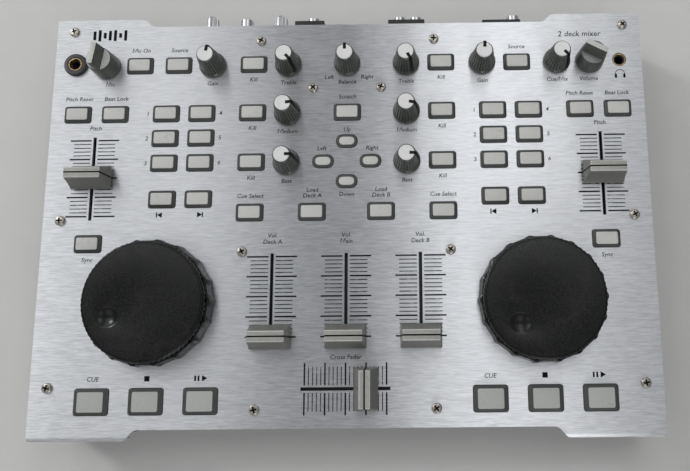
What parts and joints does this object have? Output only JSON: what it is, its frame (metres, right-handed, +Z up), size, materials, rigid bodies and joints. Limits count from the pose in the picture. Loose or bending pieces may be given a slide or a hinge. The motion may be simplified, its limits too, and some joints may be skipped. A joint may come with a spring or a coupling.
{
  "type": "dj controller",
  "caption": "Two-deck table-top DJ controller: brushed metal panel on a shallow case with jog wheels, mixer faders, rotary knobs and lit keys.",
  "frame": {"origin": "on the table, under the middle of the object's bounding box", "axes": "+X to the player's right along the long side, +Y away from the player towards the rear connectors, +Z up"},
  "size_m": [0.405, 0.2976, 0.0625],
  "materials": {
    "brushed_aluminium": "brushed along the width, clear-coated, with black printed marks",
    "black_steel": "fine-textured black powder coat",
    "circuit_board": "green solder mask",
    "connector_steel": "plated sheet steel",
    "socket_black": "moulded black plastic with a brass ring",
    "spindle_steel": "turned steel",
    "foot_rubber": "matte black rubber",
    "knob_charcoal": "charcoal moulded grip with a silver cap and a black pointer",
    "fader_silver": "silver-grey top with a black line, dark grey slopes",
    "jog_black": "near-black, finely grained, with a scuffed top",
    "key_grey": "dark grey slopes round a light warm grey top"
  },
  "bodies": {
    "console": {"top_plate": "brushed_aluminium", "bottom_case": "black_steel", "control_board": "circuit_board", "audio_board": "circuit_board", "usb_port": "connector_steel", "mic_jack": "socket_black", "phones_jack": "socket_black", "jog_spindle_left": "spindle_steel", "jog_spindle_right": "spindle_steel", "foot_front_left": "foot_rubber", "foot_front_right": "foot_rubber", "foot_rear_left": "foot_rubber", "foot_rear_right": "foot_rubber"},
    "knob_balance": {"knob_balance": "knob_charcoal"},
    "knob_cue_mix": {"knob_cue_mix": "knob_charcoal"},
    "knob_mic_volume": {"knob_mic_volume": "knob_charcoal"},
    "knob_phones_volume": {"knob_phones_volume": "knob_charcoal"},
    "knob_gain_left": {"knob_gain_left": "knob_charcoal"},
    "knob_treble_left": {"knob_treble_left": "knob_charcoal"},
    "knob_mid_left": {"knob_mid_left": "knob_charcoal"},
    "knob_bass_left": {"knob_bass_left": "knob_charcoal"},
    "knob_gain_right": {"knob_gain_right": "knob_charcoal"},
    "knob_treble_right": {"knob_treble_right": "knob_charcoal"},
    "knob_mid_right": {"knob_mid_right": "knob_charcoal"},
    "knob_bass_right": {"knob_bass_right": "knob_charcoal"},
    "fader_pitch_left": {"fader_pitch_left": "fader_silver"},
    "fader_volume_left": {"fader_volume_left": "fader_silver"},
    "fader_pitch_right": {"fader_pitch_right": "fader_silver"},
    "fader_volume_right": {"fader_volume_right": "fader_silver"},
    "fader_volume_main": {"fader_volume_main": "fader_silver"},
    "crossfader": {"crossfader": "fader_silver"},
    "jog_wheel_left": {"jog_wheel_left": "jog_black"},
    "jog_wheel_right": {"jog_wheel_right": "jog_black"},
    "keys_kill_left": {"keys_kill_left": "key_grey"},
    "keys_pads_left": {"keys_pads_left": "key_grey"},
    "keys_skip_left": {"keys_skip_left": "key_grey"},
    "keys_pitch_left": {"keys_pitch_left": "key_grey"},
    "key_sync_left": {"key_sync_left": "key_grey"},
    "key_cue_select_left": {"key_cue_select_left": "key_grey"},
    "key_load_left": {"key_load_left": "key_grey"},
    "key_cue_left": {"key_cue_left": "key_grey"},
    "key_stop_left": {"key_stop_left": "key_grey"},
    "key_play_left": {"key_play_left": "key_grey"},
    "keys_kill_right": {"keys_kill_right": "key_grey"},
    "keys_pads_right": {"keys_pads_right": "key_grey"},
    "keys_skip_right": {"keys_skip_right": "key_grey"},
    "keys_pitch_right": {"keys_pitch_right": "key_grey"},
    "key_sync_right": {"key_sync_right": "key_grey"},
    "key_cue_select_right": {"key_cue_select_right": "key_grey"},
    "key_load_right": {"key_load_right": "key_grey"},
    "key_cue_right": {"key_cue_right": "key_grey"},
    "key_stop_right": {"key_stop_right": "key_grey"},
    "key_play_right": {"key_play_right": "key_grey"},
    "keys_input_left": {"keys_input_left": "key_grey"},
    "key_source_right": {"key_source_right": "key_grey"},
    "key_scratch": {"key_scratch": "key_grey"},
    "key_nav_up": {"key_nav_up": "key_grey"},
    "key_nav_down": {"key_nav_down": "key_grey"},
    "key_nav_left": {"key_nav_left": "key_grey"},
    "key_nav_right": {"key_nav_right": "key_grey"}
  },
  "joints": [
    {"name": "knob_balance_turn", "type": "hinge", "parent": "console", "child": "knob_balance", "pos_m": [0, 0.10325, 0.042], "axis": [0, 0, 1], "range_deg": [-150, 150]},
    {"name": "knob_cue_mix_turn", "type": "hinge", "parent": "console", "child": "knob_cue_mix", "pos_m": [0.144, 0.10325, 0.042], "axis": [0, 0, 1], "range_deg": [-15, 285]},
    {"name": "knob_mic_volume_turn", "type": "hinge", "parent": "console", "child": "knob_mic_volume", "pos_m": [-0.1665, 0.10345, 0.042], "axis": [0, 0, 1], "range_deg": [-141, 159]},
    {"name": "knob_phones_volume_turn", "type": "hinge", "parent": "console", "child": "knob_phones_volume", "pos_m": [0.1665, 0.10345, 0.042], "axis": [0, 0, 1], "range_deg": [-212, 88]},
    {"name": "knob_gain_left_turn", "type": "hinge", "parent": "console", "child": "knob_gain_left", "pos_m": [-0.0927, 0.10325, 0.042], "axis": [0, 0, 1], "range_deg": [-137, 163]},
    {"name": "knob_treble_left_turn", "type": "hinge", "parent": "console", "child": "knob_treble_left", "pos_m": [-0.0405, 0.10325, 0.042], "axis": [0, 0, 1], "range_deg": [-11, 289]},
    {"name": "knob_mid_left_turn", "type": "hinge", "parent": "console", "child": "knob_mid_left", "pos_m": [-0.0405, 0.06825, 0.042], "axis": [0, 0, 1], "range_deg": [-66, 234]},
    {"name": "knob_bass_left_turn", "type": "hinge", "parent": "console", "child": "knob_bass_left", "pos_m": [-0.0405, 0.03325, 0.042], "axis": [0, 0, 1], "range_deg": [-60, 240]},
    {"name": "knob_gain_right_turn", "type": "hinge", "parent": "console", "child": "knob_gain_right", "pos_m": [0.0927, 0.10325, 0.042], "axis": [0, 0, 1], "range_deg": [-145, 155]},
    {"name": "knob_treble_right_turn", "type": "hinge", "parent": "console", "child": "knob_treble_right", "pos_m": [0.0405, 0.10325, 0.042], "axis": [0, 0, 1], "range_deg": [-2, 298]},
    {"name": "knob_mid_right_turn", "type": "hinge", "parent": "console", "child": "knob_mid_right", "pos_m": [0.0405, 0.06825, 0.042], "axis": [0, 0, 1], "range_deg": [-50.5, 249.5]},
    {"name": "knob_bass_right_turn", "type": "hinge", "parent": "console", "child": "knob_bass_right", "pos_m": [0.0405, 0.03325, 0.042], "axis": [0, 0, 1], "range_deg": [-57, 243]},
    {"name": "fader_pitch_left_slide", "type": "slide", "parent": "console", "child": "fader_pitch_left", "axis": [0, 1, 0], "range_m": [-0.0264, 0.0264]},
    {"name": "fader_volume_left_slide", "type": "slide", "parent": "console", "child": "fader_volume_left", "axis": [0, 1, 0], "range_m": [0, 0.0527]},
    {"name": "fader_pitch_right_slide", "type": "slide", "parent": "console", "child": "fader_pitch_right", "axis": [0, 1, 0], "range_m": [-0.0264, 0.0264]},
    {"name": "fader_volume_right_slide", "type": "slide", "parent": "console", "child": "fader_volume_right", "axis": [0, 1, 0], "range_m": [0, 0.0527]},
    {"name": "fader_volume_main_slide", "type": "slide", "parent": "console", "child": "fader_volume_main", "axis": [0, 1, 0], "range_m": [0, 0.0527]},
    {"name": "crossfader_slide", "type": "slide", "parent": "console", "child": "crossfader", "axis": [1, 0, 0], "range_m": [-0.0395, 0.0131]},
    {"name": "jog_wheel_left_spin", "type": "hinge", "parent": "console", "child": "jog_wheel_left", "pos_m": [-0.127, -0.06095, 0.042], "axis": [0, 0, 1], "continuous": true},
    {"name": "jog_wheel_right_spin", "type": "hinge", "parent": "console", "child": "jog_wheel_right", "pos_m": [0.127, -0.06095, 0.042], "axis": [0, 0, 1], "continuous": true},
    {"name": "keys_kill_left_press", "type": "slide", "parent": "console", "child": "keys_kill_left", "axis": [0, 0, -1], "range_m": [0, 0.0012], "stiffness_N_per_m": 400, "springref_m": -0.001},
    {"name": "keys_pads_left_press", "type": "slide", "parent": "console", "child": "keys_pads_left", "axis": [0, 0, -1], "range_m": [0, 0.0012], "stiffness_N_per_m": 400, "springref_m": -0.001},
    {"name": "keys_skip_left_press", "type": "slide", "parent": "console", "child": "keys_skip_left", "axis": [0, 0, -1], "range_m": [0, 0.0012], "stiffness_N_per_m": 400, "springref_m": -0.001},
    {"name": "keys_pitch_left_press", "type": "slide", "parent": "console", "child": "keys_pitch_left", "axis": [0, 0, -1], "range_m": [0, 0.0012], "stiffness_N_per_m": 400, "springref_m": -0.001},
    {"name": "key_sync_left_press", "type": "slide", "parent": "console", "child": "key_sync_left", "axis": [0, 0, -1], "range_m": [0, 0.0012], "stiffness_N_per_m": 400, "springref_m": -0.001},
    {"name": "key_cue_select_left_press", "type": "slide", "parent": "console", "child": "key_cue_select_left", "axis": [0, 0, -1], "range_m": [0, 0.0012], "stiffness_N_per_m": 400, "springref_m": -0.001},
    {"name": "key_load_left_press", "type": "slide", "parent": "console", "child": "key_load_left", "axis": [0, 0, -1], "range_m": [0, 0.0012], "stiffness_N_per_m": 400, "springref_m": -0.001},
    {"name": "key_cue_left_press", "type": "slide", "parent": "console", "child": "key_cue_left", "axis": [0, 0, -1], "range_m": [0, 0.0012], "stiffness_N_per_m": 400, "springref_m": -0.001},
    {"name": "key_stop_left_press", "type": "slide", "parent": "console", "child": "key_stop_left", "axis": [0, 0, -1], "range_m": [0, 0.0012], "stiffness_N_per_m": 400, "springref_m": -0.001},
    {"name": "key_play_left_press", "type": "slide", "parent": "console", "child": "key_play_left", "axis": [0, 0, -1], "range_m": [0, 0.0012], "stiffness_N_per_m": 400, "springref_m": -0.001},
    {"name": "keys_kill_right_press", "type": "slide", "parent": "console", "child": "keys_kill_right", "axis": [0, 0, -1], "range_m": [0, 0.0012], "stiffness_N_per_m": 400, "springref_m": -0.001},
    {"name": "keys_pads_right_press", "type": "slide", "parent": "console", "child": "keys_pads_right", "axis": [0, 0, -1], "range_m": [0, 0.0012], "stiffness_N_per_m": 400, "springref_m": -0.001},
    {"name": "keys_skip_right_press", "type": "slide", "parent": "console", "child": "keys_skip_right", "axis": [0, 0, -1], "range_m": [0, 0.0012], "stiffness_N_per_m": 400, "springref_m": -0.001},
    {"name": "keys_pitch_right_press", "type": "slide", "parent": "console", "child": "keys_pitch_right", "axis": [0, 0, -1], "range_m": [0, 0.0012], "stiffness_N_per_m": 400, "springref_m": -0.001},
    {"name": "key_sync_right_press", "type": "slide", "parent": "console", "child": "key_sync_right", "axis": [0, 0, -1], "range_m": [0, 0.0012], "stiffness_N_per_m": 400, "springref_m": -0.001},
    {"name": "key_cue_select_right_press", "type": "slide", "parent": "console", "child": "key_cue_select_right", "axis": [0, 0, -1], "range_m": [0, 0.0012], "stiffness_N_per_m": 400, "springref_m": -0.001},
    {"name": "key_load_right_press", "type": "slide", "parent": "console", "child": "key_load_right", "axis": [0, 0, -1], "range_m": [0, 0.0012], "stiffness_N_per_m": 400, "springref_m": -0.001},
    {"name": "key_cue_right_press", "type": "slide", "parent": "console", "child": "key_cue_right", "axis": [0, 0, -1], "range_m": [0, 0.0012], "stiffness_N_per_m": 400, "springref_m": -0.001},
    {"name": "key_stop_right_press", "type": "slide", "parent": "console", "child": "key_stop_right", "axis": [0, 0, -1], "range_m": [0, 0.0012], "stiffness_N_per_m": 400, "springref_m": -0.001},
    {"name": "key_play_right_press", "type": "slide", "parent": "console", "child": "key_play_right", "axis": [0, 0, -1], "range_m": [0, 0.0012], "stiffness_N_per_m": 400, "springref_m": -0.001},
    {"name": "keys_input_left_press", "type": "slide", "parent": "console", "child": "keys_input_left", "axis": [0, 0, -1], "range_m": [0, 0.0012], "stiffness_N_per_m": 400, "springref_m": -0.001},
    {"name": "key_source_right_press", "type": "slide", "parent": "console", "child": "key_source_right", "axis": [0, 0, -1], "range_m": [0, 0.0012], "stiffness_N_per_m": 400, "springref_m": -0.001},
    {"name": "key_scratch_press", "type": "slide", "parent": "console", "child": "key_scratch", "axis": [0, 0, -1], "range_m": [0, 0.0012], "stiffness_N_per_m": 400, "springref_m": -0.001},
    {"name": "key_nav_up_press", "type": "slide", "parent": "console", "child": "key_nav_up", "axis": [0, 0, -1], "range_m": [0, 0.0012], "stiffness_N_per_m": 400, "springref_m": -0.001},
    {"name": "key_nav_down_press", "type": "slide", "parent": "console", "child": "key_nav_down", "axis": [0, 0, -1], "range_m": [0, 0.0012], "stiffness_N_per_m": 400, "springref_m": -0.001},
    {"name": "key_nav_left_press", "type": "slide", "parent": "console", "child": "key_nav_left", "axis": [0, 0, -1], "range_m": [0, 0.0012], "stiffness_N_per_m": 400, "springref_m": -0.001},
    {"name": "key_nav_right_press", "type": "slide", "parent": "console", "child": "key_nav_right", "axis": [0, 0, -1], "range_m": [0, 0.0012], "stiffness_N_per_m": 400, "springref_m": -0.001}
  ]
}
